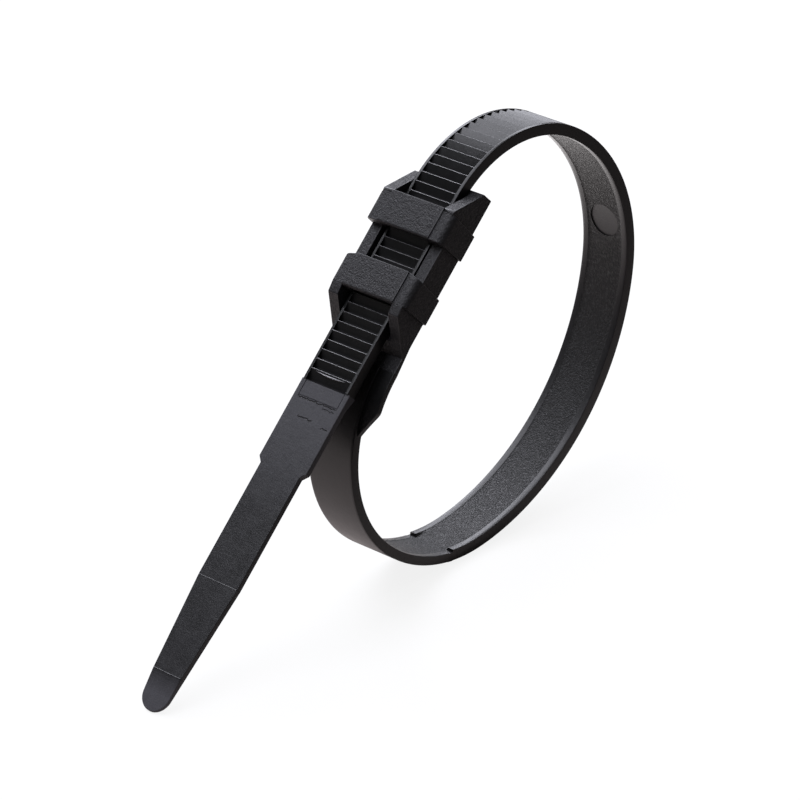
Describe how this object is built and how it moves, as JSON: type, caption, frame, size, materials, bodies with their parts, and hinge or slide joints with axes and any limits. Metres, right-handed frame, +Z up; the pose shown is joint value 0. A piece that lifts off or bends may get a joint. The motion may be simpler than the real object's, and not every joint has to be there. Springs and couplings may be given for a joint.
{
  "type": "cable tie",
  "caption": "Serrated strap closed into an upright loop through a low in-line head with bridges over a channel, its long tapered tail running down to the floor.",
  "frame": {"origin": "middle of the bounding box, on the floor that the loop and the tail's tip stand on", "axes": "+Z up, +X from the tail's tip towards the loop, Y across the strap's width"},
  "size_m": [0.103, 0.0152, 0.065],
  "materials": {
    "nylon": "black moulded nylon, satin, finely textured on the bridges and inside the loop"
  },
  "bodies": {
    "root": {"cable_tie": "nylon"}
  },
  "joints": []
}
